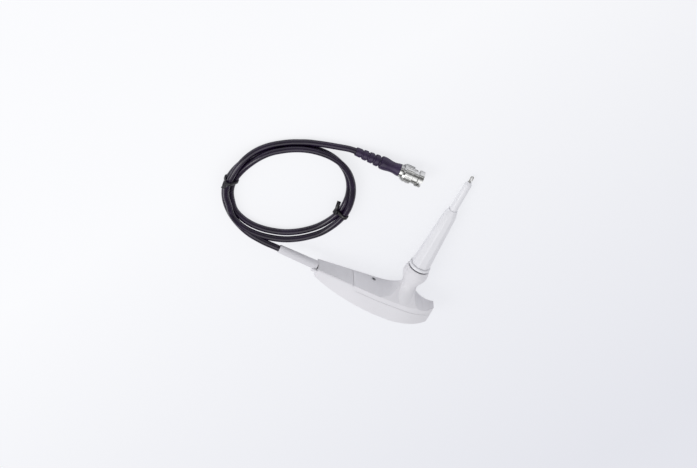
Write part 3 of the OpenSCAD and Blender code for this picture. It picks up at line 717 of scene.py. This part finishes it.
def metal(name, look):
    # plated or drawn metal: fine scratches, dull patches, bright edges
    made, wire = newFinish(name)
    place = wire.node("TexCoord", out="Object")
    rounded = wire.rounded(look["edge"])
    edge = wire.edges(rounded, metalMix["edges"])
    drawn = wire.noise(wire.stretch(place, look["draw"]), 1.0, 3.0)
    patch = wire.noise(place, look["patch"], 3.0).spread(*metalMix["patches"])
    grain = wire.noise(place, metalMix["grain"], 2.0)
    colour = patch.blend(paint(look["colour"]), paint(look["dull"]))
    colour = (edge * metalMix["brightEdge"]).blend(colour, paint(look["bright"]))
    rough = look["rough"] + patch * look["spread"] + (drawn - 0.5) * metalMix["roughDrawn"]
    rough = rough - edge * metalMix["roughEdge"]
    height = drawn * metalMix["bumpDrawn"] + grain * metalMix["bumpGrain"]
    closeFinish(wire, {"Base Color": colour, "Roughness": rough, "Metallic": 1.0,
                       "Normal": wire.bump(look["depth"], metalMix["bump"], height, rounded)})
    return made


nickelLook = {"colour": "#DEDEDD", "dull": "#BDBDBC", "bright": "#F6F6F5", "rough": 0.14, "spread": 0.12,
              "patch": 260.0, "draw": (300.0, 2600.0, 2600.0), "depth": 0.25, "edge": 0.0002}
brassLook = {"colour": "#C9A45C", "dull": "#A98448", "bright": "#E8CC8C", "rough": 0.26, "spread": 0.2,
             "patch": 300.0, "draw": (1500.0, 1500.0, 1500.0), "depth": 0.25, "edge": 0.0001}
goldLook = {"colour": "#D9B45A", "dull": "#C29C48", "bright": "#F2D890", "rough": 0.18, "spread": 0.12,
            "patch": 400.0, "draw": (400.0, 2500.0, 2500.0), "depth": 0.15, "edge": 0.0001}
tinLook = {"colour": "#B9BABC", "dull": "#98999C", "bright": "#DCDDDF", "rough": 0.34, "spread": 0.22,
           "patch": 350.0, "draw": (1500.0, 600.0, 1500.0), "depth": 0.3, "edge": 0.0001}
springLook = {"colour": "#D2D1CE", "dull": "#B0AFAC", "bright": "#E9E8E5", "rough": 0.36, "spread": 0.2,
              "patch": 500.0, "draw": (1800.0, 500.0, 1800.0), "depth": 0.25, "edge": 0.0001}
screwLook = {"colour": "#8E8D8C", "dull": "#6C6B6A", "bright": "#C4C3C2", "rough": 0.32, "spread": 0.2,
             "patch": 420.0, "draw": (1500.0, 1500.0, 1500.0), "depth": 0.25, "edge": 0.0001}
for metalName, metalLook in (("nickel", nickelLook), ("brass", brassLook), ("gold", goldLook),
                             ("tin", tinLook), ("spring", springLook), ("screw", screwLook)):
    finish[metalName] = metal(metalName + " metal", metalLook)
print("metals mixed")


boardLook = {"mask": "#12502F", "shade": "#1A6A3D", "trace": "#2E8A56", "weave": (60.0, 60.0, 240.0),
             "brick": 5.0, "gap": 0.06, "dark": (0, 0, 0, 1), "pale": (0.2, 0.2, 0.2, 1),
             "line": (1, 1, 1, 1), "cloud": 160.0, "clouds": (0.35, 0.65), "rough": 0.28,
             "roughCloud": 0.15, "depth": 0.4, "bump": 0.00006}


def solderBoard(name, look):
    # green solder mask over traces
    made, wire = newFinish(name)
    place = wire.node("TexCoord", out="Object")
    weave = wire.node("TexBrick", None, {"Vector": wire.stretch(place, look["weave"]),
                                         "Scale": look["brick"], "Mortar Size": look["gap"],
                                         "Color1": look["dark"], "Color2": look["pale"],
                                         "Mortar": look["line"]}, "Color")
    cloud = wire.noise(place, look["cloud"]).spread(*look["clouds"])
    colour = weave.blend(cloud.blend(paint(look["mask"]), paint(look["shade"])), paint(look["trace"]))
    closeFinish(wire, {"Base Color": colour, "Roughness": look["rough"] + cloud * look["roughCloud"],
                       "Normal": wire.bump(look["depth"], look["bump"], weave)})
    return made


finish["board"] = solderBoard("solder mask", boardLook)

# which finish each node wears; the replaced ones match the pieces that stand for them
wears = {"shell": ["lower_shell", "upper_shell"],
         "cover": ["trimmer_cover"],
         "screw": ["shell_screws", "board_screws"],
         "board": ["circuit_board"],
         "chip": ["board_parts"],
         "ceramic": ["trimmer_bodies"],
         "brass": ["low_trimmer", "high_trimmer"],
         "tin": ["ground_jack", "resistor_caps", "signal_wire", "crimp_sleeve"],
         "gasket": ["neck_gasket", "plug_gasket"],
         "barrel": ["flange_ring", "barrel", "hook_sleeve"],
         "resistor": ["divider_resistor"],
         "spring": ["hook_rod", "hook_spring", "wave_washer"],
         "boot": ["cable_boot"],
         "core": ["cable_core", "plug_insulator"],
         "nickel": ["plug_body", "outer_contact", "coupling_nut"],
         "gold": ["centre_pin"],
         "jacket": ["cable_lead", "cable_coil", "cable_tail"],
         "tie": ["cable_ties"],
         "plugRubber": ["plug_boot"]}
for finishName, nodeNames in wears.items():
    for nodeName in nodeNames:
        for slot in nodes[nodeName].material_slots:
            slot.material = finish[finishName]
pieceWears = {"jacket": [leadPiece], "plugRubber": [reliefPiece], "boot": [bootPiece],
              "spring": [springPiece], "tie": tiePieces}
for finishName, pieces in pieceWears.items():
    for piece in pieces:
        piece.data.materials.append(finish[finishName])
print("finishes applied")


# the table and the light, in metres and watts
# near and far are the table's glow, with painted shade towards one corner
stage = {"size": 12.0, "below": 0.0002, "tone": (0.95, 0.955, 0.97), "near": (0.96, 0.965, 0.985),
         "far": (0.76, 0.77, 0.83), "fall": (0.75, -0.33, 0.0), "fallFrom": -0.1, "fallTo": 0.24,
         "share": 0.82, "cloud": 3.0, "clouded": 0.01, "sky": (0.97, 0.97, 1.0), "skyLevel": 0.78,
         "panel": (-0.95, -0.5, 1.1), "panelSize": 0.9, "power": 7.0,
         "mirror": [(0.0, 0.9), (0.46, 0.85), (0.53, 0.12), (0.6, 0.1), (0.63, 0.9), (0.68, 0.9),
                    (0.72, 0.12), (0.9, 0.18), (0.95, 1.1), (1.0, 1.6)]}


def makeTable():
    half = stage["size"] / 2
    corners = [(x * half, y * half, -stage["below"]) for x, y in ((-1, -1), (1, -1), (1, 1), (-1, 1))]
    floor = makePiece("tableTop", corners, [(0, 1, 2, 3)])
    made, wire = newFinish("pale table")
    seen = wire.node("LightPath", out="Is Camera Ray")
    place = wire.node("TexCoord", out="Object")
    cloud = wire.noise(place, stage["cloud"])
    # painted shade: the glow fades from the near colour to the far one, as where the light falls off
    fall = wire.dot(place, stage["fall"]).spread(stage["fallFrom"], stage["fallTo"])    # darker at one corner
    shade = fall.blend(stage["near"] + (1.0,), stage["far"] + (1.0,))
    matt = wire.node("BsdfDiffuse", None, {"Color": stage["tone"] + (1.0,)})
    glow = wire.node("Emission", None, {"Color": shade, "Strength": 1.0})
    mixed = seen * stage["share"] + cloud * stage["clouded"]
    both = wire.node("MixShader", None, {0: mixed, 1: matt, 2: glow})
    wire.node("OutputMaterial", None, {"Surface": both})
    floor.data.materials.append(made)


def makeLight():
    world = bpy.data.worlds.new("studio")
    world.use_nodes = True
    world.node_tree.nodes.clear()
    wire = Wire(world.node_tree)
    # polished things mirror a studio with dark bands between the table and the lamps
    high = wire.node("SeparateXYZ", None, {0: wire.node("TexCoord", out="Generated")}, 2)
    stops = [(place, (level, level, level, 1.0)) for place, level in stage["mirror"]]
    mirror = wire.node("ValToRGB", {"stops": stops}, {0: high.spread(-1.0, 1.0)})
    plain = tuple(c * stage["skyLevel"] for c in stage["sky"]) + (1.0,)
    seen = wire.node("LightPath", out="Is Glossy Ray").blend(plain, mirror)
    back = wire.node("Background", None, {0: seen, 1: 1.0})
    wire.node("OutputWorld", None, {"Surface": back})
    bpy.context.scene.world = world
    lamp = bpy.data.lights.new("softPanel", "AREA")
    lamp.shape = "DISK"
    lamp.size = stage["panelSize"]
    lamp.energy = stage["power"]
    made = bpy.data.objects.new("softPanel", lamp)
    spot = Vector(stage["panel"])
    made.matrix_world = Matrix.Translation(spot) @ spot.to_track_quat("Z", "Y").to_matrix().to_4x4()
    bpy.context.scene.collection.objects.link(made)


makeTable()
makeLight()
bpy.context.scene.view_settings.view_transform = "Standard"
print("table and light set")
